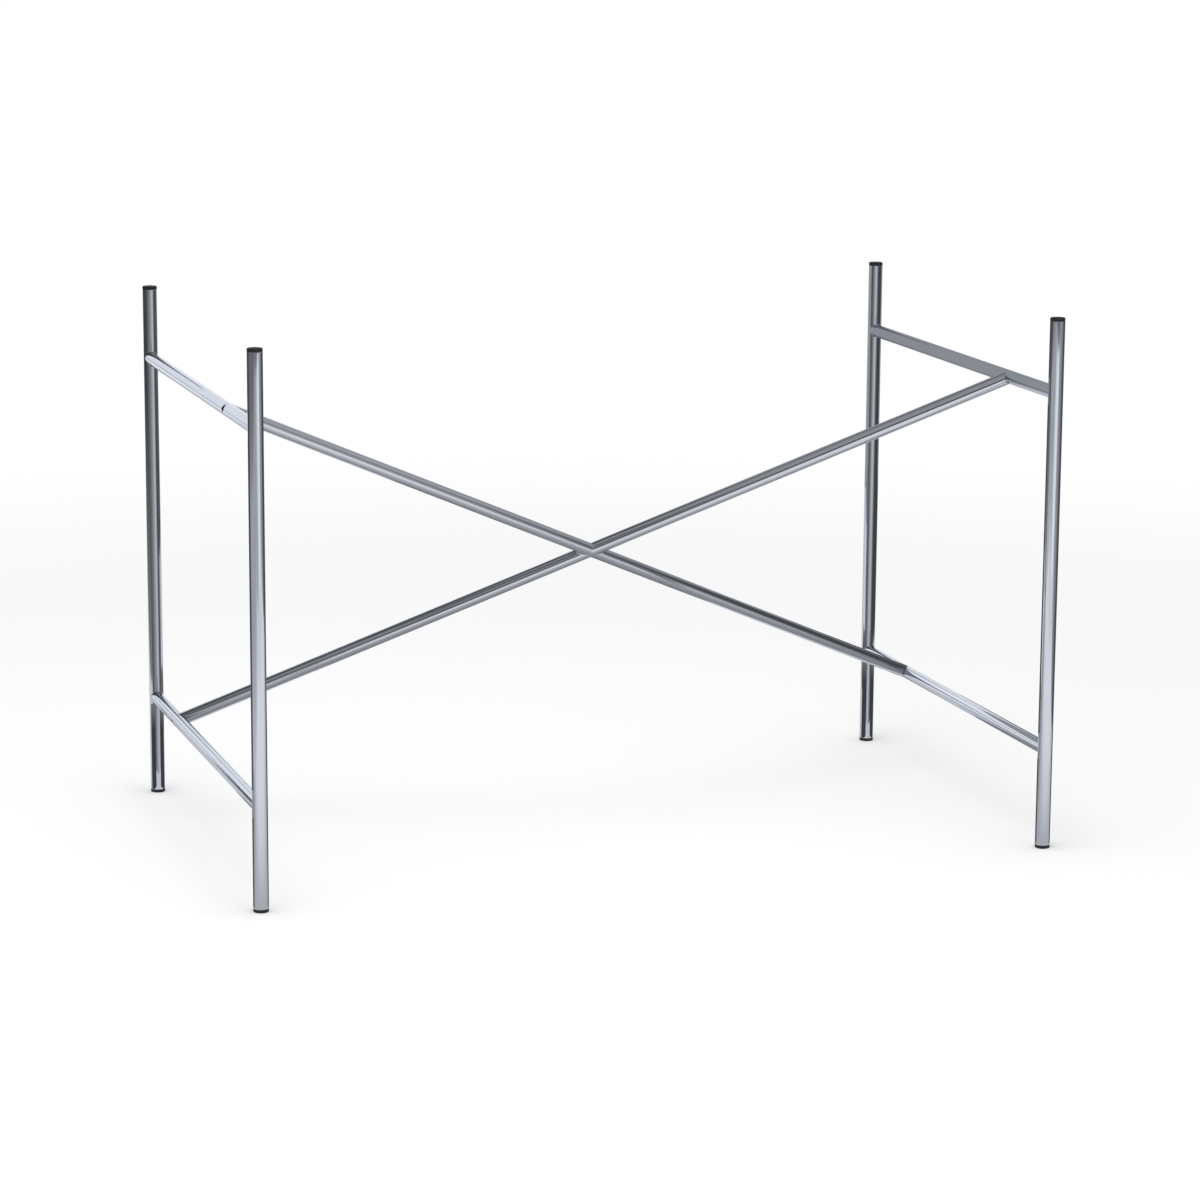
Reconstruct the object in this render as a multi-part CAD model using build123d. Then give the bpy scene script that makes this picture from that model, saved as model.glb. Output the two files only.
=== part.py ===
from build123d import *

import os

# Table frame of round steel tube: two welded end frames, joined by a sloping cross brace.
# Each end frame is two legs and two cross rails. The cross brace is a welded X of tube, whose four ends are
# saddle cut and held to the rails by socket screws. The brace leans: its upper ends are near the front legs
# and its lower ends near the rear legs. Plastic caps close the legs at the top and feet close them below.
# X runs along the frame's length, Y from the front to the rear and Z up, in millimetres. The origin is on
# the floor, at the middle of the plan.

# Overall sizes: over the outside of the legs, and from the floor to the tops of the caps
overall_length = 1100.0
overall_depth = 660.0
overall_height = 720.0

# Leg tubes
leg_diameter = 20.0
leg_wall = 2.0
leg_rim_chamfer = 0.4

# Cross rails, placed by their axes from the top of the frame and from the floor
rail_diameter = 18.0
rail_wall = 1.5
upper_rail_drop = 100.0
lower_rail_height = 137.0

# Cross brace: the inset is from a leg's axis to the joint on the rail, along the rail
brace_diameter = 18.0
brace_wall = 1.5
brace_inset = 150.0

# Gap left for the weld metal between a saddle cut and the tube that it fits
weld_gap = 0.05

# Bush welded into a rail: it carries the screw's head and keeps the rail from being crushed
bush_diameter = 14.0
counterbore_diameter = 11.2
screw_hole_diameter = 6.5

# Button head socket screw, its thread as a plain shank
screw_diameter = 6.0
screw_length = 25.0
screw_tip_chamfer = 0.8
head_diameter = 10.5
head_height = 3.3
head_crown_diameter = 5.4
head_rim_height = 0.6
head_recess = 0.3
hex_across_flats = 4.0
hex_depth = 2.0

# Threaded plug in each end of the brace
plug_length = 25.0
plug_fit = 0.05
thread_clearance = 0.05

# Caps and feet: a flange as wide as the leg, on a stem with ribs that grip the bore
cap_flange_height = 4.0
foot_flange_height = 4.0
flange_edge_round = 1.2
stem_length = 18.0
stem_wall = 1.8
rib_count = 3
rib_height = 2.0
rib_depth = 1.4
rib_fit = 0.05

# Places and radii that follow from the sizes above
leg_radius = leg_diameter / 2
rail_radius = rail_diameter / 2
brace_radius = brace_diameter / 2
leg_x = {"left": leg_radius - overall_length / 2, "right": overall_length / 2 - leg_radius}
leg_y = {"front": leg_radius - overall_depth / 2, "rear": overall_depth / 2 - leg_radius}
rail_z = {"upper": overall_height - upper_rail_drop, "lower": lower_rail_height}
joint_y = {"upper": leg_y["front"] + brace_inset, "lower": leg_y["rear"] - brace_inset}
joints = {
    (side, level): Vector(leg_x[side], joint_y[level], rail_z[level])
    for side in leg_x
    for level in rail_z
}


def rod(start, end, radius):
    """Solid round bar from one point to another."""
    axis = end - start
    along = (Align.CENTER, Align.CENTER, Align.MIN)
    return Plane(origin=start, z_dir=axis) * Cylinder(radius, axis.length, align=along)


def tube(start, end, radius, wall):
    """Round tube from one point to another."""
    return rod(start, end, radius) - rod(start, end, radius - wall)


def turned(profile):
    """Solid of revolution about Z of a closed outline in the XZ plane."""
    outline = Polyline([(x, 0, z) for x, z in profile], close=True)
    return revolve(make_face(outline), Axis.Z)


def leg_axis(side, row):
    """Foot and top of a leg's axis, from the floor to the table top."""
    x, y = leg_x[side], leg_y[row]
    return Vector(x, y, 0), Vector(x, y, overall_height)


def rail_axis(side, level):
    """Ends of a rail's axis, on the axes of its two legs."""
    x, z = leg_x[side], rail_z[level]
    return Vector(x, leg_y["front"], z), Vector(x, leg_y["rear"], z)


def rail_bar(side, level, radius):
    """Solid bar along a rail, to cut a saddle or to trim what lies inside the rail."""
    return rod(*rail_axis(side, level), radius)


def leg(side, row):
    """Leg tube between the flanges of its foot and its cap, with both rims eased."""
    x, y = leg_x[side], leg_y[row]
    low, high = foot_flange_height, overall_height - cap_flange_height
    body = rod(Vector(x, y, low), Vector(x, y, high), leg_radius)
    rims = body.edges().filter_by(GeomType.CIRCLE)
    return chamfer(rims, leg_rim_chamfer) - rod(*leg_axis(side, row), leg_radius - leg_wall)


def rib_stem(flange_height):
    """Outline of a cap or foot, its flange below Z 0 and its hollow ribbed stem above."""
    bore = leg_radius - leg_wall - rib_fit
    core = bore - rib_depth
    pitch = (stem_length - rib_height) / rib_count
    outline = [(0, -flange_height), (leg_radius, -flange_height), (leg_radius, 0), (core, 0)]
    for number in range(rib_count):
        low = (number + 1) * pitch - rib_height / 2
        outline += [(core, low), (bore, low), (core, low + rib_height)]
    outline += [(core, stem_length), (core - stem_wall, stem_length), (core - stem_wall, 0), (0, 0)]
    return outline


def leg_plug(flange_height):
    """Plastic plug for a leg's end: flange below Z 0 with a rounded edge, stem above."""
    body = turned(rib_stem(flange_height))
    edge = body.edges().filter_by(GeomType.CIRCLE).group_by(Axis.Z)[0]
    return fillet(edge, min(flange_edge_round, flange_height / 2))


def foot(side, row):
    """Foot under a leg, its flange on the floor."""
    return Pos(leg_x[side], leg_y[row], foot_flange_height) * leg_plug(foot_flange_height)


def cap(side, row):
    """Cap on top of a leg, its flange under the table top."""
    turned_over = Pos(0, 0, overall_height - cap_flange_height) * Rot(180, 0, 0)
    return Pos(leg_x[side], leg_y[row], 0) * turned_over * leg_plug(cap_flange_height)


def brace_direction(side, level):
    """Direction from a joint along the brace, towards the opposite joint."""
    other_side = "right" if side == "left" else "left"
    other_level = "lower" if level == "upper" else "upper"
    return (joints[other_side, other_level] - joints[side, level]).normalized()


def surface_distance(side, level):
    """Distance along the brace's axis from the rail's axis to the rail's surface."""
    slope = brace_direction(side, level).Y
    return rail_radius / (1 - slope**2) ** 0.5


def along_joint(side, level, low, high, radius):
    """Bar on the brace's axis at a joint. Distances are from the rail's axis, positive into the brace."""
    place, direction = joints[side, level], brace_direction(side, level)
    return rod(place + direction * low, place + direction * high, radius)


def head_seat(side, level):
    """Where the screw's head bears, so that its crown lies just under the rail's surface."""
    return head_recess + head_height - surface_distance(side, level)


def rail(side, level):
    """Cross rail: saddle cut to its legs, with the holes for the bush and the screw."""
    body = tube(*rail_axis(side, level), rail_radius, rail_wall)
    for row in leg_y:
        body -= rod(*leg_axis(side, row), leg_radius + weld_gap)
    body -= along_joint(side, level, -rail_diameter, 0, bush_diameter / 2 + weld_gap)
    return body - along_joint(side, level, 0, rail_diameter, screw_hole_diameter / 2)


def bush(side, level):
    """Bush across a rail: flush with the rail outside, against the rail's inner wall at the brace."""
    outer = along_joint(side, level, -rail_diameter, 0, bush_diameter / 2)
    inner = along_joint(side, level, 0, rail_diameter, bush_diameter / 2)
    body = outer & rail_bar(side, level, rail_radius)
    body += inner & rail_bar(side, level, rail_radius - rail_wall - weld_gap)
    seat = head_seat(side, level)
    body -= along_joint(side, level, -rail_diameter, seat, counterbore_diameter / 2)
    return body - along_joint(side, level, -rail_diameter, rail_diameter, screw_hole_diameter / 2)


def screw(side, level):
    """Socket screw from the rail's outside into the plug: domed head with a hexagon socket."""
    rim, crown, shank = head_diameter / 2, head_crown_diameter / 2, screw_diameter / 2
    side_line = Line((rim, 0, 0), (rim, 0, -head_rim_height))
    start_tangent = (0, 0, -1)
    dome = TangentArc((rim, 0, -head_rim_height), (crown, 0, -head_height), tangent=start_tangent)
    rest = Polyline(
        (crown, 0, -head_height),
        (0, 0, -head_height),
        (0, 0, screw_length),
        (shank - screw_tip_chamfer, 0, screw_length),
        (shank, 0, screw_length - screw_tip_chamfer),
        (shank, 0, 0),
        (rim, 0, 0),
    )
    body = revolve(make_face(Curve() + [side_line, dome, rest]), Axis.Z)
    hexagon = RegularPolygon(hex_across_flats / 2, 6, major_radius=False)
    body -= Pos(0, 0, -head_height) * extrude(hexagon, hex_depth)
    direction = brace_direction(side, level)
    seat = joints[side, level] + direction * head_seat(side, level)
    return Plane(origin=seat, x_dir=(0, 1, 0), z_dir=direction) * body


def brace_plug(side, level):
    """Threaded steel plug in a brace's end, saddle cut with the tube."""
    end = surface_distance(side, level) + plug_length
    body = along_joint(side, level, 0, end, brace_radius - brace_wall - plug_fit)
    body -= rail_bar(side, level, rail_radius + weld_gap)
    return body - along_joint(side, level, 0, end, screw_diameter / 2 + thread_clearance)


def through_tube():
    """Brace tube in one length, from the left upper joint to the right lower one."""
    start, end = joints["left", "upper"], joints["right", "lower"]
    body = tube(start, end, brace_radius, brace_wall)
    body -= rail_bar("left", "upper", rail_radius + weld_gap)
    return body - rail_bar("right", "lower", rail_radius + weld_gap)


def half_tube(side, level):
    """Half of the other brace tube, from its joint to the through tube, saddle cut to both."""
    start, end = joints["left", "upper"], joints["right", "lower"]
    body = tube(joints[side, level], (start + end) / 2, brace_radius, brace_wall)
    body -= rail_bar(side, level, rail_radius + weld_gap)
    return body - rod(start, end, brace_radius + weld_gap)


def write(name, shape):
    """One STEP file for each piece."""
    export_step(shape, f"parts/{name}.step")


os.makedirs("parts", exist_ok=True)
for side in leg_x:
    for row in leg_y:
        write(f"{row}_{side}_leg", leg(side, row))
        write(f"{row}_{side}_cap", cap(side, row))
        write(f"{row}_{side}_foot", foot(side, row))
    for level in rail_z:
        write(f"{side}_{level}_rail", rail(side, level))
        write(f"{side}_{level}_bush", bush(side, level))
        write(f"{side}_{level}_screw", screw(side, level))
        write(f"{side}_{level}_brace_plug", brace_plug(side, level))
write("brace_through_tube", through_tube())
write("brace_upper_half", half_tube("right", "upper"))
write("brace_lower_half", half_tube("left", "lower"))
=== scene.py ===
import math

import bmesh
import bpy
from bpy.props import FloatProperty, FloatVectorProperty, IntProperty, PointerProperty
from bpy.types import Operator, Panel, PropertyGroup
from mathutils import Matrix, Vector


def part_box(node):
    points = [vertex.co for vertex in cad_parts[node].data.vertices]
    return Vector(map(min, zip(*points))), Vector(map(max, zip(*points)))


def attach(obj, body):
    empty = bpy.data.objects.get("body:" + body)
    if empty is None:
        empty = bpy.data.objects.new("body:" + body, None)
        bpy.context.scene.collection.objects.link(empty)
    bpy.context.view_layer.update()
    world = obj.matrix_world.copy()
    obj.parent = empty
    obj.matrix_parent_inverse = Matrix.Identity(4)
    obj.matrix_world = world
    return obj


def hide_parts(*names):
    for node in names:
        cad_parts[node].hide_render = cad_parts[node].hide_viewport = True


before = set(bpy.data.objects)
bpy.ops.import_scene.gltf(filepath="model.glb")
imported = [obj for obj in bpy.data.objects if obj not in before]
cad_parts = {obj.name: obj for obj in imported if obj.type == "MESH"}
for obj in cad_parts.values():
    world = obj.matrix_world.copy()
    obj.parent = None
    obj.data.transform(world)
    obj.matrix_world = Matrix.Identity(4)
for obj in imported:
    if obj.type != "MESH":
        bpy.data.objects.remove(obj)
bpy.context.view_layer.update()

bl_info = {
    "name": "Chromed Table Frame",
    "version": (1, 0, 0),
    "blender": (4, 5, 0),
    "location": "View3D > Sidebar > Table Frame",
    "description": "Models and finishes a tubular table frame around its packed CAD parts",
    "category": "Object",
}

BODY = "root"
SIDES = ("left", "right")
ROWS = ("front", "rear")
LEVELS = ("upper", "lower")
LEG_NODES = [f"{row}_{side}_leg" for side in SIDES for row in ROWS]

# Points and directions nearer to each other than this count as one, in metres and radians
SAME_PLACE = 1e-5
SAME_DIRECTION = 1e-4

# Edges sharper than this stay crisp
CRISP_ANGLE = math.radians(35.0)

# Faces across a rounded edge
ROUND_SEGMENTS = 4

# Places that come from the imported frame, in metres
first_leg_low, first_leg_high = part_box("front_left_leg")
first_rail_low, first_rail_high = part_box("left_upper_rail")
LEG_DIAMETER = first_leg_high.x - first_leg_low.x
RAIL_DIAMETER = first_rail_high.z - first_rail_low.z


def middle(node):
    """Middle of a CAD node's box."""
    low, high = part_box(node)
    return (low + high) / 2


class FrameSizes(PropertyGroup):
    """Sizes of the modelled pieces"""

    leg_diameter: FloatProperty(
        name="Leg diameter", description="Outside of the leg tubes", default=LEG_DIAMETER, unit="LENGTH"
    )
    leg_wall: FloatProperty(
        name="Leg wall", description="Wall of the leg tubes", default=0.002, unit="LENGTH"
    )
    leg_rim_round: FloatProperty(
        name="Leg rim round", description="Rounding of the leg's outer rims", default=0.0008, unit="LENGTH"
    )
    rail_diameter: FloatProperty(
        name="Rail diameter", description="Outside of the cross rails", default=RAIL_DIAMETER, unit="LENGTH"
    )
    rail_wall: FloatProperty(
        name="Rail wall", description="Wall of rails and brace tubes", default=0.0015, unit="LENGTH"
    )
    brace_diameter: FloatProperty(
        name="Brace diameter", description="Outside of the brace tubes", default=0.018, unit="LENGTH"
    )
    brace_inset: FloatProperty(
        name="Brace inset",
        description="From a leg's axis to the brace, along the rail",
        default=0.15,
        unit="LENGTH",
    )
    brace_end_round: FloatProperty(
        name="Brace end round", description="Rounding of the brace's cut ends", default=0.0008, unit="LENGTH"
    )
    bush_hole: FloatProperty(
        name="Bush hole", description="Hole in a rail for its bush", default=0.0141, unit="LENGTH"
    )
    rail_weld: FloatProperty(
        name="Rail weld",
        description="Radius of the weld fillet at a rail's end",
        default=0.0015,
        unit="LENGTH",
    )
    cross_weld: FloatProperty(
        name="Cross weld",
        description="Radius of the weld fillets where the braces cross",
        default=0.0025,
        unit="LENGTH",
    )
    weld_sink: FloatProperty(
        name="Weld sink",
        description="How far a fillet's back lies in the tubes",
        default=0.0006,
        unit="LENGTH",
    )
    tube_segments: IntProperty(
        name="Tube segments", description="Faces round a tube", default=128, min=32, max=256
    )


class FrameFinish(PropertyGroup):
    """Colours and gloss of the finishes"""

    chrome_colour: FloatVectorProperty(
        name="Chrome", description="Colour of the chrome plate", default=(0.55, 0.58, 0.64), subtype="COLOR"
    )
    chrome_edge: FloatVectorProperty(
        name="Chrome edge",
        description="How the plate dims at a grazing angle",
        default=(0.72, 0.74, 0.78),
        subtype="COLOR",
    )
    chrome_roughness: FloatProperty(
        name="Chrome roughness", description="Blur of the reflections", default=0.07, subtype="FACTOR"
    )
    plastic_colour: FloatVectorProperty(
        name="Plastic",
        description="Colour of the caps and feet",
        default=(0.005, 0.005, 0.0054),
        subtype="COLOR",
    )
    steel_colour: FloatVectorProperty(
        name="Steel", description="Colour of the screws", default=(0.46, 0.46, 0.47), subtype="COLOR"
    )


class FrameStudio(PropertyGroup):
    """Floor, light and camera"""

    floor_colour: FloatVectorProperty(
        name="Floor", description="Colour of the floor", default=(0.94, 0.94, 0.945), subtype="COLOR"
    )
    floor_fade_start: FloatProperty(
        name="Floor fade start",
        description="Where the floor starts to turn plain white",
        default=1.2,
        unit="LENGTH",
    )
    floor_fade_end: FloatProperty(
        name="Floor fade end", description="Where the floor is plain white", default=3.2, unit="LENGTH"
    )
    leg_flag_distance: FloatProperty(
        name="Leg flag distance",
        description="From a leg's axis to the dark cards behind it",
        default=0.025,
        unit="LENGTH",
    )
    leg_flag_gap: FloatProperty(
        name="Leg flag gap",
        description="From a rail's axis to the cards above and below it",
        default=0.018,
        unit="LENGTH",
    )
    ambient: FloatProperty(
        name="Ambient", description="Strength of the even light from all round", default=0.86
    )
    lamp_power: FloatProperty(
        name="Lamp", description="Power of the overhead soft box", default=30.0, unit="POWER"
    )
    camera_place: FloatVectorProperty(
        name="Camera place",
        description="Where the camera stands",
        default=(-1.623, -5.021, 1.395),
        subtype="TRANSLATION",
    )
    camera_yaw: FloatProperty(
        name="Yaw", description="Turn of the camera to the right", default=0.3151, subtype="ANGLE"
    )
    camera_pitch: FloatProperty(
        name="Pitch", description="Tilt of the camera downwards", default=0.203, subtype="ANGLE"
    )
    camera_roll: FloatProperty(
        name="Roll", description="Roll of the camera about its view", default=0.0063, subtype="ANGLE"
    )
    camera_lens: FloatProperty(
        name="Lens", description="Focal length in millimetres", default=117.99
    )


# Shared steps of modelling


def rename_active(name):
    """Names the primitive that was just added."""
    piece = bpy.context.active_object
    piece.name = name
    piece.data.name = name
    return piece


def select_only(piece):
    """Selects one piece and makes it the active one."""
    bpy.ops.object.select_all(action="DESELECT")
    piece.select_set(True)
    bpy.context.view_layer.objects.active = piece


def apply_place(piece):
    """Puts the piece's place and turn into its mesh."""
    select_only(piece)
    bpy.ops.object.transform_apply(location=True, rotation=True, scale=True)


def apply_modifier(piece, kind, **settings):
    """Adds a modifier with its settings and applies it."""
    bpy.context.view_layer.objects.active = piece
    modifier = piece.modifiers.new(kind.title(), kind)
    for key, value in settings.items():
        setattr(modifier, key, value)
    bpy.ops.object.modifier_apply(modifier=modifier.name)


def select_in_edit(piece, kind, test):
    """Selects, in edit mode, the faces or edges that pass a test."""
    bpy.ops.mesh.select_mode(type=kind)
    bpy.ops.mesh.select_all(action="DESELECT")
    mesh = bmesh.from_edit_mesh(piece.data)
    for part in mesh.faces if kind == "FACE" else mesh.edges:
        if test(part):
            part.select_set(True)
    bmesh.update_edit_mesh(piece.data)


def face_outwards():
    """Turns all faces of the active piece outwards."""
    bpy.ops.object.mode_set(mode="EDIT")
    bpy.ops.mesh.select_all(action="SELECT")
    bpy.ops.mesh.normals_make_consistent(inside=False)
    bpy.ops.object.mode_set(mode="OBJECT")


def smooth(piece):
    """Smooth shading, with sharp edges left crisp and long faces kept straight."""
    select_only(piece)
    bpy.ops.object.shade_smooth_by_angle(angle=CRISP_ANGLE)
    apply_modifier(piece, "WEIGHTED_NORMAL", keep_sharp=True, weight=100)


def copy_piece(piece, name, matrix):
    """Copy with a mesh of its own, moved by a matrix."""
    copy = piece.copy()
    copy.data = piece.data.copy()
    copy.name = name
    copy.data.name = name
    copy.data.transform(matrix)
    bpy.context.scene.collection.objects.link(copy)
    return copy


def finish_piece(piece, material, slot, *nodes):
    """Gives a finished piece its material, hangs it on the body it rides on, and hides the CAD nodes it
    stands for.
    """
    piece.data.materials.clear()
    piece.data.materials.append(material)
    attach(piece, BODY)
    if nodes:
        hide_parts(*nodes)


def require(done, words):
    """Stops the script where a step could not finish."""
    if not done:
        raise RuntimeError(words)


def solid_bar(bar):
    """Solid round bar, to shape other pieces on. A bar is a point on its axis, a direction and a radius."""
    place, axis, radius = bar
    length_in_radii = 8
    bpy.ops.mesh.primitive_cylinder_add(
        vertices=bpy.context.scene.frame_sizes.tube_segments * 2,
        radius=radius,
        depth=radius * length_in_radii,
        location=place,
        rotation=axis.to_track_quat("Z", "Y").to_euler(),
    )
    return rename_active("saddle_bar")


def fit_end(piece, bar, far_end):
    """Slides the ring at one end of a tube along the tube, until it lies on a round bar."""
    ring = piece.vertex_groups.new(name="ring")
    points = [point.index for point in piece.data.vertices if (point.co.z > 0) == far_end]
    ring.add(points, 1.0, "REPLACE")
    target = solid_bar(bar)
    apply_modifier(
        piece,
        "SHRINKWRAP",
        wrap_method="PROJECT",
        target=target,
        vertex_group=ring.name,
        use_project_z=True,
        use_positive_direction=not far_end,
        use_negative_direction=far_end,
    )
    piece.vertex_groups.clear()
    bpy.data.objects.remove(target)


def saddle_tube(name, start, end, radius, wall, start_bar, end_bar):
    """Round tube between points on the axes of two round bars, its ends saddle cut to sit on them."""
    bpy.ops.mesh.primitive_cylinder_add(
        vertices=bpy.context.scene.frame_sizes.tube_segments,
        radius=radius,
        depth=(end - start).length,
        end_fill_type="NOTHING",
        location=(start + end) / 2,
        rotation=(end - start).to_track_quat("Z", "Y").to_euler(),
    )
    piece = rename_active(name)
    fit_end(piece, (start, *start_bar[1:]), False)
    fit_end(piece, (end, *end_bar[1:]), True)
    apply_modifier(piece, "SOLIDIFY", thickness=wall, offset=-1.0, use_rim=True)
    apply_place(piece)
    return piece


# Layout of the real frame


def leg_bar(side, row):
    """A leg as a round bar: a point on its axis, its direction and its radius."""
    place = middle(f"{row}_{side}_leg")
    return place, Vector((0, 0, 1)), bpy.context.scene.frame_sizes.leg_diameter / 2


def rail_bar(side, level):
    """A rail as a round bar."""
    place = middle(f"{side}_{level}_rail")
    return place, Vector((0, 1, 0)), bpy.context.scene.frame_sizes.rail_diameter / 2


def brace_joint(side, level):
    """Where a brace's axis meets a rail's axis."""
    inset = bpy.context.scene.frame_sizes.brace_inset
    rail = middle(f"{side}_{level}_rail")
    if level == "upper":
        y = middle(f"front_{side}_leg").y + inset
    else:
        y = middle(f"rear_{side}_leg").y - inset
    return Vector((rail.x, y, rail.z))


def opposite_joint(side, level):
    """The joint at the other end of the same brace line."""
    other_side = "right" if side == "left" else "left"
    other_level = "lower" if level == "upper" else "upper"
    return brace_joint(other_side, other_level)


# Weld fillets


def on_bar(bar, point):
    """The place on a bar's surface that is nearest to a point outside it."""
    place, axis, radius = bar
    on_axis = place + axis * (point - place).dot(axis)
    return on_axis + (point - on_axis).normalized() * radius


def fillet_section(ball, bar_a, bar_b, share):
    """A point on the closed section of a fillet that a rolling ball leaves between two bars.

    The first half of the section is the ball's arc from one bar to the other. The second half is the hidden
    back, which dips into both tubes.
    """
    touch_a, touch_b = on_bar(bar_a, ball), on_bar(bar_b, ball)
    if share <= 0.5:
        part = share * 2
        arm_a, arm_b = touch_a - ball, touch_b - ball
        angle = arm_a.angle(arm_b, 0.0)
        if angle < SAME_DIRECTION:
            return touch_a.lerp(touch_b, part)
        near = math.sin((1 - part) * angle) / math.sin(angle)
        far = math.sin(part * angle) / math.sin(angle)
        return ball + arm_a * near + arm_b * far
    part = share * 2 - 1
    between = (touch_a + touch_b) / 2
    width = (touch_a - touch_b).length
    inwards = (between - ball).normalized()
    sink = bpy.context.scene.frame_sizes.weld_sink
    depth = (width / 2 + sink * min(1.0, width / sink)) * math.sin(part * math.pi)
    return touch_b.lerp(touch_a, part) + inwards * depth


def rail_weld_ball(side, level, row, turn):
    """Centre of the ball that rolls between a rail and a leg, at a turn about the rail."""
    sizes = bpy.context.scene.frame_sizes
    leg, _, leg_radius = leg_bar(side, row)
    rail, _, rail_radius = rail_bar(side, level)
    reach = rail_radius + sizes.rail_weld
    x, z = reach * math.cos(turn), reach * math.sin(turn)
    away = math.sqrt((leg_radius + sizes.rail_weld) ** 2 - x**2)
    inwards = 1 if row == "front" else -1
    return Vector((leg.x + x, leg.y + inwards * away, rail.z + z))


# Effects shared by several materials


def new_group(name, inputs, outputs):
    """An empty node group with named sockets. Sockets are (name, kind, default)."""
    group = bpy.data.node_groups.new(name, "ShaderNodeTree")
    for socket, kind, default in inputs:
        made = group.interface.new_socket(name=socket, in_out="INPUT", socket_type=kind)
        if default is not None:
            made.default_value = default
    for socket, kind in outputs:
        group.interface.new_socket(name=socket, in_out="OUTPUT", socket_type=kind)
    start = group.nodes.new("NodeGroupInput")
    end = group.nodes.new("NodeGroupOutput")
    return group, start, end


def surface_variation():
    """Group: fine patches for colour and gloss, and a height for bump, at a size in metres."""
    name = "surface_variation"
    if name in bpy.data.node_groups:
        return bpy.data.node_groups[name]
    inputs = [
        ("Vector", "NodeSocketVector", None),
        ("Patch Scale", "NodeSocketFloat", 40.0),
        ("Grain Scale", "NodeSocketFloat", 900.0),
        ("Roughness Low", "NodeSocketFloat", 0.05),
        ("Roughness High", "NodeSocketFloat", 0.1),
        ("Grain Height", "NodeSocketFloat", 0.0),
    ]
    outputs = [
        ("Mask", "NodeSocketFloat"),
        ("Roughness", "NodeSocketFloat"),
        ("Height", "NodeSocketFloat"),
    ]
    group, start, end = new_group(name, inputs, outputs)
    nodes, links = group.nodes, group.links
    patches = nodes.new("ShaderNodeTexNoise")
    patches.inputs["Detail"].default_value = 3.0
    grain = nodes.new("ShaderNodeTexNoise")
    grain.inputs["Detail"].default_value = 2.0
    links.new(start.outputs["Vector"], patches.inputs["Vector"])
    links.new(start.outputs["Vector"], grain.inputs["Vector"])
    links.new(start.outputs["Patch Scale"], patches.inputs["Scale"])
    links.new(start.outputs["Grain Scale"], grain.inputs["Scale"])
    grain_share = 0.35
    blend = nodes.new("ShaderNodeMath")
    blend.operation = "MULTIPLY_ADD"
    blend.inputs[1].default_value = grain_share
    links.new(grain.outputs["Fac"], blend.inputs[0])
    links.new(patches.outputs["Fac"], blend.inputs[2])
    spread = nodes.new("ShaderNodeMapRange")
    spread.inputs["From Min"].default_value = 0.45
    spread.inputs["From Max"].default_value = 0.9
    links.new(blend.outputs["Value"], spread.inputs["Value"])
    gloss = nodes.new("ShaderNodeMapRange")
    links.new(spread.outputs["Result"], gloss.inputs["Value"])
    links.new(start.outputs["Roughness Low"], gloss.inputs["To Min"])
    links.new(start.outputs["Roughness High"], gloss.inputs["To Max"])
    links.new(spread.outputs["Result"], end.inputs["Mask"])
    links.new(gloss.outputs["Result"], end.inputs["Roughness"])
    height = nodes.new("ShaderNodeMath")
    height.operation = "MULTIPLY_ADD"
    links.new(grain.outputs["Fac"], height.inputs[0])
    links.new(start.outputs["Grain Height"], height.inputs[1])
    links.new(patches.outputs["Fac"], height.inputs[2])
    links.new(height.outputs["Value"], end.inputs["Height"])
    return group


def new_material(name):
    """A material with an empty node tree, its Principled shader and its output."""
    material = bpy.data.materials.new(name)
    material.use_nodes = True
    nodes = material.node_tree.nodes
    nodes.clear()
    shader = nodes.new("ShaderNodeBsdfPrincipled")
    output = nodes.new("ShaderNodeOutputMaterial")
    material.node_tree.links.new(shader.outputs["BSDF"], output.inputs["Surface"])
    return material, shader


def varied_finish(name, light, dark, roughness, patch_scale, grain_scale, grain_height, bump):
    """Material whose colour, gloss and height vary by the shared group. Bump is its depth in metres."""
    if name in bpy.data.materials:
        return bpy.data.materials[name], None
    material, shader = new_material(name)
    nodes, links = material.node_tree.nodes, material.node_tree.links
    place = nodes.new("ShaderNodeTexCoord")
    effect = nodes.new("ShaderNodeGroup")
    effect.node_tree = surface_variation()
    effect.inputs["Patch Scale"].default_value = patch_scale
    effect.inputs["Grain Scale"].default_value = grain_scale
    effect.inputs["Grain Height"].default_value = grain_height
    gloss_spread = 0.25
    effect.inputs["Roughness Low"].default_value = roughness * (1 - gloss_spread)
    effect.inputs["Roughness High"].default_value = roughness * (1 + gloss_spread)
    links.new(place.outputs["Object"], effect.inputs["Vector"])
    colour = nodes.new("ShaderNodeMix")
    colour.data_type = "RGBA"
    colour.inputs["A"].default_value = (*dark, 1.0)
    colour.inputs["B"].default_value = (*light, 1.0)
    links.new(effect.outputs["Mask"], colour.inputs["Factor"])
    links.new(colour.outputs["Result"], shader.inputs["Base Color"])
    links.new(effect.outputs["Roughness"], shader.inputs["Roughness"])
    height = nodes.new("ShaderNodeBump")
    height.inputs["Strength"].default_value = 1.0
    height.inputs["Distance"].default_value = bump
    links.new(effect.outputs["Height"], height.inputs["Height"])
    links.new(height.outputs["Normal"], shader.inputs["Normal"])
    return material, shader


def darker(colour, share):
    """A share of a colour."""
    return tuple(share * part for part in colour)


def chrome():
    """Bright chrome plate: bluish, with faint waves and haze."""
    finish = bpy.context.scene.frame_finish
    light = tuple(finish.chrome_colour)
    material, shader = varied_finish(
        "chrome_plate",
        light,
        darker(light, 0.96),
        roughness=finish.chrome_roughness,
        patch_scale=18.0,
        grain_scale=400.0,
        grain_height=0.0,
        bump=0.00004,
    )
    if shader:
        shader.inputs["Metallic"].default_value = 1.0
        shader.inputs["Specular Tint"].default_value = (*finish.chrome_edge, 1.0)
    return material


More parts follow.
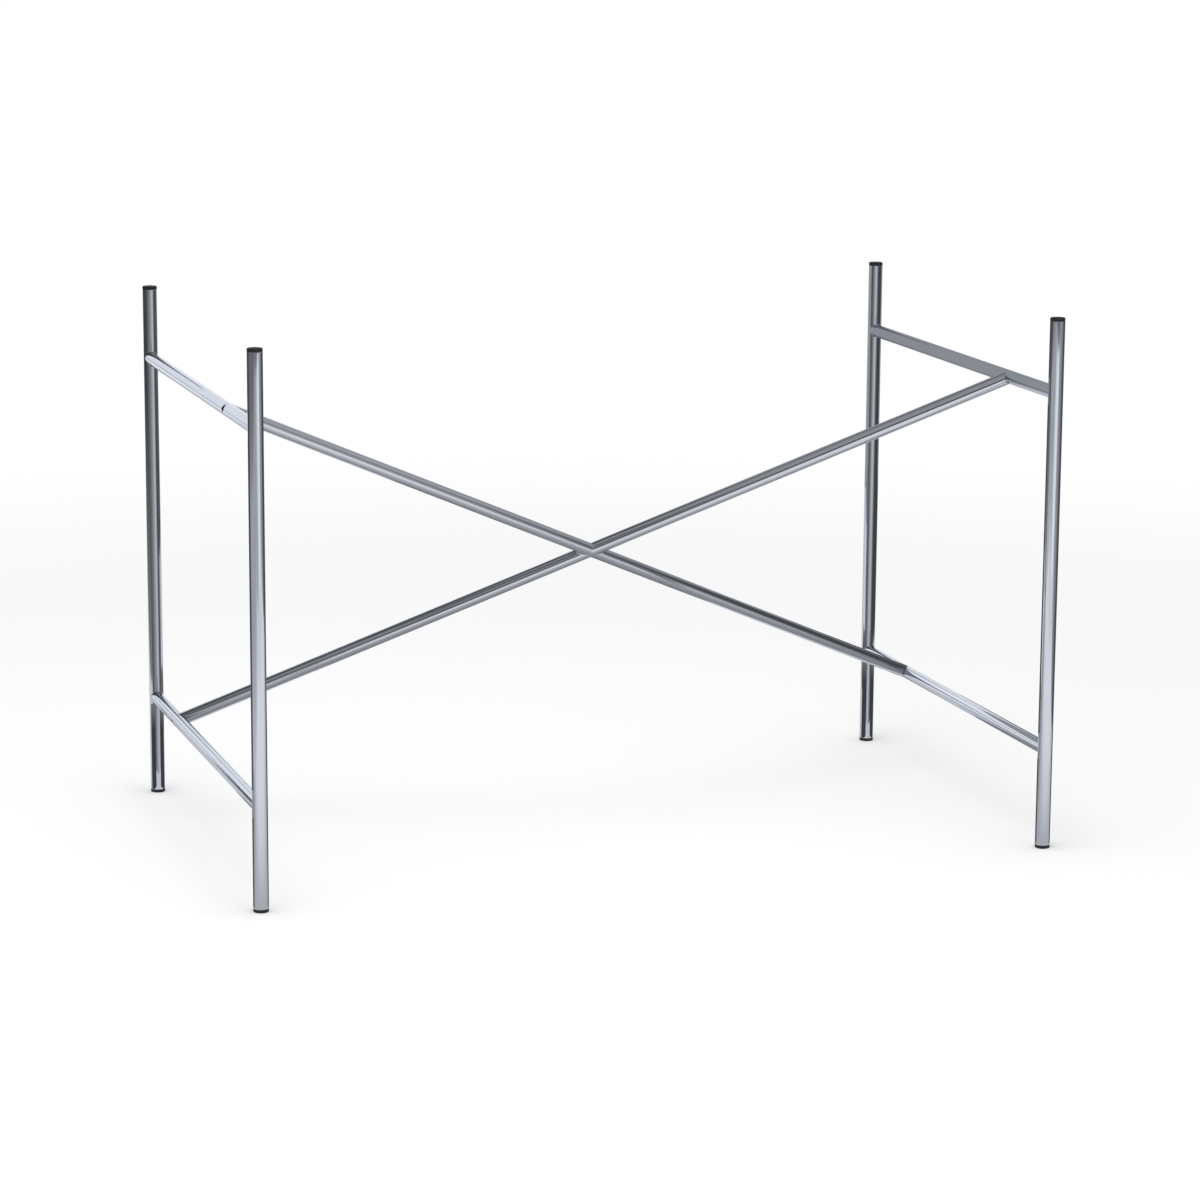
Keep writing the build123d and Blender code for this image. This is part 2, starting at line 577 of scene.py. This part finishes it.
def black_plastic():
    """Satin moulded plastic with a fine grain."""
    light = tuple(bpy.context.scene.frame_finish.plastic_colour)
    material, shader = varied_finish(
        "black_plastic",
        light,
        darker(light, 0.7),
        roughness=0.55,
        patch_scale=300.0,
        grain_scale=2500.0,
        grain_height=0.5,
        bump=0.00001,
    )
    if shader:
        shader.inputs["Specular IOR Level"].default_value = 0.1
    return material


def bright_steel():
    """Plain bright steel of the screws."""
    light = tuple(bpy.context.scene.frame_finish.steel_colour)
    material, shader = varied_finish(
        "bright_steel",
        light,
        darker(light, 0.85),
        roughness=0.28,
        patch_scale=250.0,
        grain_scale=3000.0,
        grain_height=0.5,
        bump=0.00001,
    )
    if shader:
        shader.inputs["Metallic"].default_value = 1.0
    return material


def turned_steel():
    """Dull turned steel of the plugs inside the brace."""
    light = darker(bpy.context.scene.frame_finish.steel_colour, 0.9)
    material, shader = varied_finish(
        "turned_steel",
        light,
        darker(light, 0.75),
        roughness=0.45,
        patch_scale=250.0,
        grain_scale=3000.0,
        grain_height=0.5,
        bump=0.00002,
    )
    if shader:
        shader.inputs["Metallic"].default_value = 1.0
    return material


class TABLEFRAME_OT_legs(Operator):
    """Four leg tubes with an open bore and eased rims"""

    bl_idname = "table_frame.legs"
    bl_label = "Legs"

    def execute(self, context):
        sizes = context.scene.frame_sizes
        radius = sizes.leg_diameter / 2
        low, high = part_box(LEG_NODES[0])
        centre = (low + high) / 2
        bpy.ops.object.select_all(action="DESELECT")
        bpy.ops.mesh.primitive_cylinder_add(
            vertices=sizes.tube_segments, radius=radius, depth=high.z - low.z, location=centre
        )
        first = rename_active(LEG_NODES[0].replace("leg", "leg_tube"))
        apply_place(first)
        bpy.ops.object.mode_set(mode="EDIT")
        select_in_edit(first, "FACE", lambda face: abs(face.normal.z) > 0.9)
        bpy.ops.mesh.inset(thickness=sizes.leg_wall)
        bpy.ops.mesh.bridge_edge_loops()

        def on_rim(edge):
            places = [point.co for point in edge.verts]
            if any(abs((place.xy - centre.xy).length - radius) > SAME_PLACE for place in places):
                return False
            return any(all(abs(place.z - rim) < SAME_PLACE for place in places) for rim in (low.z, high.z))

        select_in_edit(first, "EDGE", on_rim)
        bpy.ops.mesh.bevel(offset=sizes.leg_rim_round, segments=ROUND_SEGMENTS, affect="EDGES")
        face_outwards()
        smooth(first)
        legs = [first]
        for node in LEG_NODES[1:]:
            step = Matrix.Translation(middle(node) - centre)
            legs.append(copy_piece(first, node.replace("leg", "leg_tube"), step))
        for leg, node in zip(legs, LEG_NODES):
            finish_piece(leg, chrome(), "tube_chrome", node)
        return {"FINISHED"}


class TABLEFRAME_OT_rails(Operator):
    """Four cross rails, saddle cut to the legs, each with the hole for its bush"""

    bl_idname = "table_frame.rails"
    bl_label = "Rails"

    def execute(self, context):
        sizes = context.scene.frame_sizes
        bpy.ops.object.select_all(action="DESELECT")
        front, rear = leg_bar("left", "front"), leg_bar("left", "rear")
        axis = middle("left_upper_rail")
        start = Vector((axis.x, front[0].y, axis.z))
        end = Vector((axis.x, rear[0].y, axis.z))
        plain = saddle_tube("plain_rail", start, end, sizes.rail_diameter / 2, sizes.rail_wall, front, rear)
        for side in SIDES:
            for level in LEVELS:
                self.one_rail(plain, side, level, axis, sizes)
        bpy.data.objects.remove(plain)
        return {"FINISHED"}

    def one_rail(self, plain, side, level, axis, sizes):
        """Copies the plain rail to its place and bores it for the bush."""
        node = f"{side}_{level}_rail"
        rail = copy_piece(plain, f"{node}_tube", Matrix.Translation(middle(node) - axis))
        joint = brace_joint(side, level)
        outwards = (joint - opposite_joint(side, level)).normalized()
        self.rings_beside(rail, joint.y, sizes.bush_hole)
        bpy.ops.object.select_all(action="DESELECT")
        bpy.ops.mesh.primitive_cylinder_add(
            vertices=sizes.tube_segments // 2,
            radius=sizes.bush_hole / 2,
            depth=sizes.rail_diameter,
            location=joint + outwards * sizes.rail_diameter / 2,
            rotation=outwards.to_track_quat("Z", "Y").to_euler(),
        )
        cutter = rename_active("bush_cutter")
        apply_modifier(rail, "BOOLEAN", operation="DIFFERENCE", object=cutter, solver="EXACT")
        bpy.data.objects.remove(cutter)
        require(len(rail.data.polygons) > sizes.tube_segments * 4, f"{node} lost its wall when it was bored")
        smooth(rail)
        finish_piece(rail, chrome(), "tube_chrome", node)

    def rings_beside(self, rail, y, width):
        """Cuts two rings beside the hole, so that the long faces of the tube stay whole."""
        select_only(rail)
        bpy.ops.object.mode_set(mode="EDIT")
        for place in (y - width, y + width):
            bpy.ops.mesh.select_all(action="SELECT")
            bpy.ops.mesh.bisect(plane_co=(0, place, 0), plane_no=(0, 1, 0))
        bpy.ops.object.mode_set(mode="OBJECT")


class TABLEFRAME_OT_brace(Operator):
    """The brace's through tube and its two half tubes"""

    bl_idname = "table_frame.brace"
    bl_label = "Cross brace"

    def execute(self, context):
        sizes = context.scene.frame_sizes
        radius = sizes.brace_diameter / 2
        start, end = brace_joint("left", "upper"), brace_joint("right", "lower")
        crossing = (start + end) / 2
        through = (crossing, (end - start).normalized(), radius)
        upper, lower = ("right", "upper"), ("left", "lower")
        tubes = {
            "brace_through_tube": (start, end, rail_bar("left", "upper"), rail_bar("right", "lower")),
            "brace_upper_half": (brace_joint(*upper), crossing, rail_bar(*upper), through),
            "brace_lower_half": (brace_joint(*lower), crossing, rail_bar(*lower), through),
        }
        for node, (low, high, low_bar, high_bar) in tubes.items():
            bpy.ops.object.select_all(action="DESELECT")
            piece = saddle_tube(f"{node}_chromed", low, high, radius, sizes.rail_wall, low_bar, high_bar)
            ends = [bar for bar in (low_bar, high_bar) if bar is not through]
            self.round_ends(piece, ends, low, high, radius, sizes)
            smooth(piece)
            finish_piece(piece, chrome(), "tube_chrome", node)
        return {"FINISHED"}

    def round_ends(self, piece, bars, low, high, radius, sizes):
        """Rounds the outer edge of each end that sits on a rail."""
        axis = (high - low).normalized()

        def outer_edge(edge):
            if not all(self.on_surface(point.co, (low, axis, radius)) for point in edge.verts):
                return False
            return any(all(self.on_surface(point.co, bar) for point in edge.verts) for bar in bars)

        bpy.ops.object.mode_set(mode="EDIT")
        select_in_edit(piece, "EDGE", outer_edge)
        bpy.ops.mesh.bevel(offset=sizes.brace_end_round, segments=ROUND_SEGMENTS, affect="EDGES")
        bpy.ops.object.mode_set(mode="OBJECT")

    def on_surface(self, point, bar):
        """Whether a point lies on a round bar's surface."""
        place, axis, radius = bar
        offset = point - place
        return abs((offset - axis * offset.dot(axis)).length - radius) < SAME_PLACE


class TABLEFRAME_OT_rail_welds(Operator):
    """Weld fillets where the rails meet the legs"""

    bl_idname = "table_frame.rail_welds"
    bl_label = "Rail welds"

    def execute(self, context):
        bpy.ops.object.select_all(action="DESELECT")
        bpy.ops.mesh.primitive_torus_add(
            major_segments=96, minor_segments=20, major_radius=1.0, minor_radius=0.25
        )
        first = rename_active("left_upper_front_weld")
        rail, leg = rail_bar("left", "upper"), leg_bar("left", "front")
        for vertex in first.data.vertices:
            x, y, z = vertex.co
            turn = math.atan2(y, x)
            share = math.atan2(z, math.hypot(x, y) - 1.0) / math.tau % 1.0
            ball = rail_weld_ball("left", "upper", "front", turn)
            vertex.co = fillet_section(ball, rail, leg, share)
        face_outwards()
        smooth(first)
        origin = Vector((rail[0].x, leg[0].y, rail[0].z))
        for side in SIDES:
            for level in LEVELS:
                for row in ROWS:
                    name = f"{side}_{level}_{row}_weld"
                    rail_middle = middle(f"{side}_{level}_rail")
                    place = Vector((rail_middle.x, middle(f"{row}_{side}_leg").y, rail_middle.z))
                    turn = Matrix.Rotation(0.0 if row == "front" else math.pi, 4, "Z")
                    step = Matrix.Translation(place) @ turn @ Matrix.Translation(-origin)
                    weld = first if name == first.name else copy_piece(first, name, step)
                    finish_piece(weld, chrome(), "tube_chrome")
        return {"FINISHED"}


class TABLEFRAME_OT_cross_weld(Operator):
    """Weld fillets in the four corners where the brace tubes cross"""

    bl_idname = "table_frame.cross_weld"
    bl_label = "Crossing welds"

    def execute(self, context):
        sizes = context.scene.frame_sizes
        radius = sizes.brace_diameter / 2
        reach = radius + sizes.cross_weld
        first_axis = (brace_joint("right", "lower") - brace_joint("left", "upper")).normalized()
        second_axis = (brace_joint("right", "upper") - brace_joint("left", "lower")).normalized()
        crossing = (brace_joint("right", "lower") + brace_joint("left", "upper")) / 2
        bars = [(crossing, axis, radius) for axis in (first_axis, second_axis)]
        normal = first_axis.cross(second_axis).normalized()
        corners = {
            "top": (second_axis - first_axis).normalized(),
            "right": (first_axis + second_axis).normalized(),
        }
        opposite = {"top": "bottom", "right": "left"}
        turn = Matrix.Rotation(math.pi, 4, normal)
        half_turn = Matrix.Translation(crossing) @ turn @ Matrix.Translation(-crossing)
        for corner, outwards in corners.items():
            bpy.ops.object.select_all(action="DESELECT")
            bpy.ops.mesh.primitive_uv_sphere_add(segments=24, ring_count=48, radius=1.0)
            piece = rename_active(f"crossing_{corner}_weld")
            reach_out = reach / outwards.cross(first_axis).length
            for vertex in piece.data.vertices:
                x, y, z = vertex.co
                along = math.asin(max(-1.0, min(1.0, z)))
                share = math.atan2(y, x) / math.tau % 1.0
                step_out, step_up = reach_out * math.cos(along), reach * math.sin(along)
                ball = crossing + outwards * step_out + normal * step_up
                vertex.co = fillet_section(ball, bars[0], bars[1], share)
            face_outwards()
            smooth(piece)
            finish_piece(piece, chrome(), "tube_chrome")
            copy = copy_piece(piece, f"crossing_{opposite[corner]}_weld", half_turn)
            finish_piece(copy, chrome(), "tube_chrome")
        return {"FINISHED"}


class TABLEFRAME_OT_fittings(Operator):
    """Finishes of the caps, feet, bushes, screws and plugs, whose CAD shapes stay"""

    bl_idname = "table_frame.fittings"
    bl_label = "Caps, feet and fittings"

    def execute(self, context):
        finishes = {
            "cap": black_plastic(),
            "foot": black_plastic(),
            "bush": chrome(),
            "screw": bright_steel(),
            "plug": turned_steel(),
        }
        for name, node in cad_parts.items():
            kind = name.split("_")[-1]
            if kind in finishes:
                node.data.materials.clear()
                node.data.materials.append(finishes[kind])
        return {"FINISHED"}


# The studio's cards


def upright(left, right, bottom, top):
    """Corners of an upright card, from its left and right foot as seen from inside, and its two heights."""
    return [(*foot, height) for height in (bottom, top) for foot in (left, right)]


def lying(xs, ys, height):
    """Corners of a card that lies flat, from left to right and from near to far as seen from inside."""
    return [(x, y, height) for y in ys for x in xs]


# Where the studio's walls and ceiling stand, in metres
STUDIO_FRONT, STUDIO_REAR, STUDIO_SIDE, STUDIO_TOP = -2.2, 2.7, 1.25, 2.2

# How the small cards at the rear feet brighten upwards
FOOT_STOPS = ((0.0, 0.08), (0.7, 0.08), (1.0, 0.3))

# What the chrome mirrors: each card's corners, the way its brightness changes, and the stops of that change
STUDIO_CARDS = {
    "front_soft_box": (
        upright((1.9, STUDIO_FRONT), (-1.9, STUDIO_FRONT), 0.0, 0.42),
        "across",
        (
            (0.0, 0.5),
            (0.18, 0.9),
            (0.24, 1.2),
            (0.44, 1.2),
            (0.58, 0.88),
            (0.69, 0.6),
            (0.8, 0.52),
            (1.0, 0.4),
        ),
    ),
    "front_wall": (
        upright((1.9, STUDIO_FRONT), (-1.9, STUDIO_FRONT), 0.42, STUDIO_TOP),
        "up",
        ((0.0, 0.3), (0.08, 0.1), (0.3, 0.12), (0.65, 0.42), (1.0, 0.45)),
    ),
    "left_front_wall": (
        upright((-STUDIO_SIDE, STUDIO_FRONT), (-STUDIO_SIDE, -0.05), 0.0, STUDIO_TOP),
        "up",
        (
            (0.0, 0.84),
            (0.04, 0.7),
            (0.1, 0.55),
            (0.17, 0.58),
            (0.21, 0.36),
            (0.24, 0.25),
            (0.36, 0.18),
            (0.46, 0.22),
            (0.55, 0.42),
            (0.64, 0.4),
            (0.72, 0.2),
            (1.0, 0.18),
        ),
    ),
    "left_front_flag": (
        upright((-1.24, STUDIO_FRONT), (-1.24, -1.62), 0.46, 0.95),
        "up",
        ((0.0, 0.07), (1.0, 0.1)),
    ),
    "left_rear_wall": (
        upright((-STUDIO_SIDE, -0.05), (-STUDIO_SIDE, 2.0), 0.0, STUDIO_TOP),
        "up",
        ((0.0, 0.35), (0.1, 0.2), (0.22, 0.08), (1.0, 0.15)),
    ),
    "right_low_wall": (
        upright((STUDIO_SIDE, 1.4), (STUDIO_SIDE, STUDIO_FRONT), 0.0, 0.85),
        "across",
        ((0.0, 0.08), (0.42, 0.1), (0.51, 0.14), (0.56, 0.25), (0.64, 0.4), (0.76, 0.5), (1.0, 0.48)),
    ),
    "right_high_wall": (
        upright((STUDIO_SIDE, 1.4), (STUDIO_SIDE, STUDIO_FRONT), 0.85, STUDIO_TOP),
        "up",
        ((0.0, 0.18), (0.2, 0.5), (0.35, 0.58), (1.0, 0.5)),
    ),
    "rear_wall": (
        upright((-2.6, STUDIO_REAR), (2.6, STUDIO_REAR), 0.0, STUDIO_TOP),
        "up",
        ((0.0, 1.35), (0.225, 1.35), (0.23, 0.08), (0.255, 0.08), (0.26, 1.35), (1.0, 1.35)),
    ),
    "grey_flag": (
        upright((0.0, 0.345), (1.15, 0.345), 0.38, 1.3),
        "up",
        ((0.0, 0.48), (1.0, 0.48)),
    ),
    "rear_left_flag": (
        upright((-0.25, 0.2), (-0.9, 0.2), 0.0, 0.74),
        "across",
        ((0.0, 0.08), (0.26, 0.14), (0.36, 0.8), (0.42, 0.66), (0.5, 0.38), (0.63, 0.2), (1.0, 0.12)),
    ),
    "rear_right_flag": (
        upright((0.8, 0.2), (0.0, 0.2), 0.0, 0.74),
        "across",
        (
            (0.0, 0.06),
            (0.25, 0.1),
            (0.3, 0.4),
            (0.34, 0.8),
            (0.39, 0.64),
            (0.46, 0.34),
            (0.56, 0.18),
            (1.0, 0.12),
        ),
    ),
    "rear_left_foot_flag": (upright((-0.565, 0.28), (-0.565, 0.325), 0.0, 0.125), "up", FOOT_STOPS),
    "rear_left_inner_foot_flag": (upright((-0.515, 0.325), (-0.515, 0.28), 0.0, 0.125), "up", FOOT_STOPS),
    "rear_right_inner_foot_flag": (upright((0.515, 0.28), (0.515, 0.325), 0.0, 0.125), "up", FOOT_STOPS),
    "rear_right_foot_flag": (upright((0.565, 0.325), (0.565, 0.28), 0.0, 0.125), "up", FOOT_STOPS),
    "rear_floor_flag": (
        lying((-0.25, 0.25), (0.2, 0.7), 0.003),
        "up",
        ((0.0, 0.1), (0.7, 0.1), (1.0, 0.4)),
    ),
    "ceiling": (
        lying((STUDIO_SIDE, -STUDIO_SIDE), (STUDIO_FRONT, STUDIO_REAR), STUDIO_TOP),
        "up",
        ((0.0, 0.48), (0.31, 0.41), (0.44, 0.38), (0.57, 0.15), (0.7, 0.1), (1.0, 0.2)),
    ),
    "floor_glow": (
        lying((STUDIO_SIDE, -STUDIO_SIDE), (0.16, -1.6), 0.002),
        "up",
        (
            (0.0, 0.33),
            (0.12, 0.45),
            (0.2, 0.55),
            (0.29, 0.68),
            (0.38, 0.88),
            (0.49, 1.05),
            (0.66, 1.12),
            (1.0, 1.12),
        ),
    ),
}

# Cards that fade out for reflections from nearer than this, in metres, to leave no hard step on a tube
NEAR_FADES = {"grey_flag": 0.04, "rear_left_flag": 0.11, "rear_right_flag": 0.11}

# Dark cards behind the edges of the front legs, in degrees about the leg from the camera's direction
FLAGGED_LEGS = [node for node in LEG_NODES if node.startswith("front")]
LEG_FLAG_TURNS = {"left": (-90.0, -142.0), "right": (142.0, 99.0)}
LEG_FLAG_STOPS = ((0.0, 0.12), (1.0, 0.12))

# The floor's width and the overhead soft box, in metres
FLOOR_WIDTH = 80.0
LAMP_PLACE = Vector((-0.6, -0.8, 3.0))
LAMP_WIDTH = 2.5

# The camera's sensor in millimetres, and how far it sees in metres
SENSOR_WIDTH = 36.0
CAMERA_REACH = 200.0


class TABLEFRAME_OT_stage(Operator):
    """Floor, studio walls, light and camera"""

    bl_idname = "table_frame.stage"
    bl_label = "Stage"

    def execute(self, context):
        studio = context.scene.frame_studio
        self.floor(studio)
        for name, (corners, way, stops) in STUDIO_CARDS.items():
            self.card(name, corners, way, stops, NEAR_FADES.get(name))
        for node in FLAGGED_LEGS:
            self.leg_flags(node, studio)
        self.world(studio)
        self.lamp(studio)
        self.camera(context, studio)
        context.scene.view_settings.view_transform = "Standard"
        return {"FINISHED"}

    def seen_directly(self, tree):
        """Socket that is 1 for the camera, reflections and glass, and 0 for the light on surfaces."""
        path = tree.nodes.new("ShaderNodeLightPath")
        seen = path.outputs["Is Camera Ray"]
        for kind in ("Is Glossy Ray", "Is Transmission Ray"):
            either = tree.nodes.new("ShaderNodeMath")
            either.operation = "MAXIMUM"
            tree.links.new(seen, either.inputs[0])
            tree.links.new(path.outputs[kind], either.inputs[1])
            seen = either.outputs["Value"]
        return seen

    def floor(self, studio):
        """Large pale floor that keeps the shadow near the frame and is plain white further off."""
        bpy.ops.object.select_all(action="DESELECT")
        bpy.ops.mesh.primitive_plane_add(size=FLOOR_WIDTH)
        floor = rename_active("floor")
        material, shader = new_material("pale_floor")
        shader.inputs["Base Color"].default_value = (*studio.floor_colour, 1.0)
        shader.inputs["Roughness"].default_value = 1.0
        shader.inputs["Specular IOR Level"].default_value = 0.0
        nodes, links = material.node_tree.nodes, material.node_tree.links
        place = nodes.new("ShaderNodeTexCoord")
        distance = nodes.new("ShaderNodeVectorMath")
        distance.operation = "LENGTH"
        links.new(place.outputs["Object"], distance.inputs[0])
        fade = nodes.new("ShaderNodeMapRange")
        fade.interpolation_type = "SMOOTHSTEP"
        fade.inputs["From Min"].default_value = studio.floor_fade_start
        fade.inputs["From Max"].default_value = studio.floor_fade_end
        links.new(distance.outputs["Value"], fade.inputs["Value"])
        far = nodes.new("ShaderNodeMath")
        far.operation = "MULTIPLY"
        links.new(fade.outputs["Result"], far.inputs[0])
        links.new(self.seen_directly(material.node_tree), far.inputs[1])
        white = nodes.new("ShaderNodeEmission")
        mix = nodes.new("ShaderNodeMixShader")
        links.new(far.outputs["Value"], mix.inputs["Fac"])
        links.new(shader.outputs["BSDF"], mix.inputs[1])
        links.new(white.outputs["Emission"], mix.inputs[2])
        output = next(node for node in nodes if node.type == "OUTPUT_MATERIAL")
        links.new(mix.outputs["Shader"], output.inputs["Surface"])
        material.cycles.emission_sampling = "NONE"
        floor.data.materials.append(material)

    def card(self, name, corners, way, stops, fade_distance=None):
        """A card that only reflections see, and only from inside.

        Its brightness changes across it or upwards, by stops of a place and a level. A card with a fade
        distance turns clear for reflections from nearer than that.
        """
        bpy.ops.object.select_all(action="DESELECT")
        bpy.ops.mesh.primitive_plane_add(size=2.0)
        card = rename_active(name)
        for vertex, corner in zip(card.data.vertices, corners):
            vertex.co = corner
        material = bpy.data.materials.new(name)
        material.use_nodes = True
        nodes, links = material.node_tree.nodes, material.node_tree.links
        nodes.clear()
        place = nodes.new("ShaderNodeTexCoord")
        split = nodes.new("ShaderNodeSeparateXYZ")
        ramp = nodes.new("ShaderNodeValToRGB")
        glow = nodes.new("ShaderNodeEmission")
        clear = nodes.new("ShaderNodeBsdfTransparent")
        side = nodes.new("ShaderNodeNewGeometry")
        mix = nodes.new("ShaderNodeMixShader")
        output = nodes.new("ShaderNodeOutputMaterial")
        links.new(place.outputs["UV"], split.inputs["Vector"])
        links.new(split.outputs["X" if way == "across" else "Y"], ramp.inputs["Fac"])
        links.new(ramp.outputs["Color"], glow.inputs["Color"])
        see_through = side.outputs["Backfacing"]
        if fade_distance:
            path = nodes.new("ShaderNodeLightPath")
            fade = nodes.new("ShaderNodeMapRange")
            fade.interpolation_type = "SMOOTHSTEP"
            fade.inputs["From Max"].default_value = fade_distance
            fade.inputs["To Min"].default_value = 1.0
            fade.inputs["To Max"].default_value = 0.0
            links.new(path.outputs["Ray Length"], fade.inputs["Value"])
            either = nodes.new("ShaderNodeMath")
            either.operation = "MAXIMUM"
            links.new(see_through, either.inputs[0])
            links.new(fade.outputs["Result"], either.inputs[1])
            see_through = either.outputs["Value"]
        links.new(see_through, mix.inputs["Fac"])
        links.new(glow.outputs["Emission"], mix.inputs[1])
        links.new(clear.outputs["BSDF"], mix.inputs[2])
        links.new(mix.outputs["Shader"], output.inputs["Surface"])
        elements = ramp.color_ramp.elements
        elements[0].position, elements[1].position = stops[0][0], stops[-1][0]
        for spot, _ in stops[1:-1]:
            elements.new(spot)
        for element, (_, level) in zip(elements, stops):
            element.color = (level, level, level, 1.0)
        material.cycles.emission_sampling = "NONE"
        card.data.materials.append(material)
        card.visible_camera = False
        card.visible_diffuse = False
        card.visible_transmission = False
        card.visible_volume_scatter = False
        card.visible_shadow = False

    def leg_flags(self, node, studio):
        """Upright cards that give a leg its dark outlines, with gaps on the left for the rails."""
        low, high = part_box(node)
        axis = (low + high) / 2
        to_camera = (Vector(studio.camera_place) - axis).xy.normalized()
        side = node.split("_")[1]
        rails = [middle(f"{side}_{level}_rail").z for level in reversed(LEVELS)]
        gaps = [z + step for z in rails for step in (-studio.leg_flag_gap, studio.leg_flag_gap)]
        heights = {"left": [0.0, *gaps, high.z], "right": [0.0, high.z]}
        for edge, turns in LEG_FLAG_TURNS.items():
            feet = []
            for turn in turns:
                outwards = Matrix.Rotation(math.radians(turn), 2) @ to_camera
                feet.append(axis.xy + outwards * studio.leg_flag_distance)
            for bottom, top in zip(heights[edge][::2], heights[edge][1::2]):
                self.card(f"{node}_{edge}_flag", upright(*feet, bottom, top), "up", LEG_FLAG_STOPS)

    def world(self, studio):
        """Even light, and white to the camera and to reflections."""
        world = bpy.data.worlds.new("studio")
        bpy.context.scene.world = world
        world.use_nodes = True
        nodes, links = world.node_tree.nodes, world.node_tree.links
        nodes.clear()
        light = nodes.new("ShaderNodeBackground")
        light.inputs["Strength"].default_value = studio.ambient
        white = nodes.new("ShaderNodeBackground")
        white.inputs["Strength"].default_value = 1.0
        for background in (light, white):
            background.inputs["Color"].default_value = (1.0, 1.0, 1.0, 1.0)
        mix = nodes.new("ShaderNodeMixShader")
        output = nodes.new("ShaderNodeOutputWorld")
        links.new(self.seen_directly(world.node_tree), mix.inputs["Fac"])
        links.new(light.outputs["Background"], mix.inputs[1])
        links.new(white.outputs["Background"], mix.inputs[2])
        links.new(mix.outputs["Shader"], output.inputs["Surface"])

    def lamp(self, studio):
        """Large soft box overhead, for a soft shadow."""
        bpy.ops.object.light_add(type="AREA", location=LAMP_PLACE)
        lamp = bpy.context.active_object
        lamp.name = "overhead_soft_box"
        lamp.data.shape = "SQUARE"
        lamp.data.size = LAMP_WIDTH
        lamp.data.energy = studio.lamp_power
        lamp.rotation_euler = (-LAMP_PLACE).to_track_quat("-Z", "Y").to_euler()
        lamp.visible_camera = False
        lamp.visible_glossy = False

    def camera(self, context, studio):
        """Camera at the photograph's viewing angle."""
        turn = (
            Matrix.Rotation(-studio.camera_yaw, 3, "Z")
            @ Matrix.Rotation(math.pi / 2 - studio.camera_pitch, 3, "X")
            @ Matrix.Rotation(studio.camera_roll, 3, "Z")
        )
        bpy.ops.object.camera_add(location=studio.camera_place, rotation=turn.to_euler())
        camera = bpy.context.active_object
        camera.data.sensor_width = SENSOR_WIDTH
        camera.data.lens = studio.camera_lens
        camera.data.clip_end = CAMERA_REACH
        context.scene.camera = camera


OPERATORS = (
    TABLEFRAME_OT_legs,
    TABLEFRAME_OT_rails,
    TABLEFRAME_OT_brace,
    TABLEFRAME_OT_rail_welds,
    TABLEFRAME_OT_cross_weld,
    TABLEFRAME_OT_fittings,
    TABLEFRAME_OT_stage,
)


class TABLEFRAME_PT_sidebar(Panel):
    """Lists the frame's sizes, finishes and steps"""

    bl_idname = "TABLEFRAME_PT_sidebar"
    bl_label = "Table Frame"
    bl_space_type = "VIEW_3D"
    bl_region_type = "UI"
    bl_category = "Table Frame"

    def draw(self, context):
        for group in (context.scene.frame_sizes, context.scene.frame_finish, context.scene.frame_studio):
            box = self.layout.box()
            for name in type(group).__annotations__:
                box.prop(group, name)
        for step in OPERATORS:
            self.layout.operator(step.bl_idname)


SETTINGS = {"frame_sizes": FrameSizes, "frame_finish": FrameFinish, "frame_studio": FrameStudio}


def register():
    for group in SETTINGS.values():
        bpy.utils.register_class(group)
    for step in (*OPERATORS, TABLEFRAME_PT_sidebar):
        bpy.utils.register_class(step)
    for name, group in SETTINGS.items():
        setattr(bpy.types.Scene, name, PointerProperty(type=group))


def unregister():
    for name in SETTINGS:
        delattr(bpy.types.Scene, name)
    for step in (TABLEFRAME_PT_sidebar, *reversed(OPERATORS)):
        bpy.utils.unregister_class(step)
    for group in SETTINGS.values():
        bpy.utils.unregister_class(group)


def main():
    register()
    bpy.ops.table_frame.legs()
    bpy.ops.table_frame.rails()
    bpy.ops.table_frame.brace()
    bpy.ops.table_frame.rail_welds()
    bpy.ops.table_frame.cross_weld()
    bpy.ops.table_frame.fittings()
    bpy.ops.table_frame.stage()


if __name__ == "__main__":
    main()
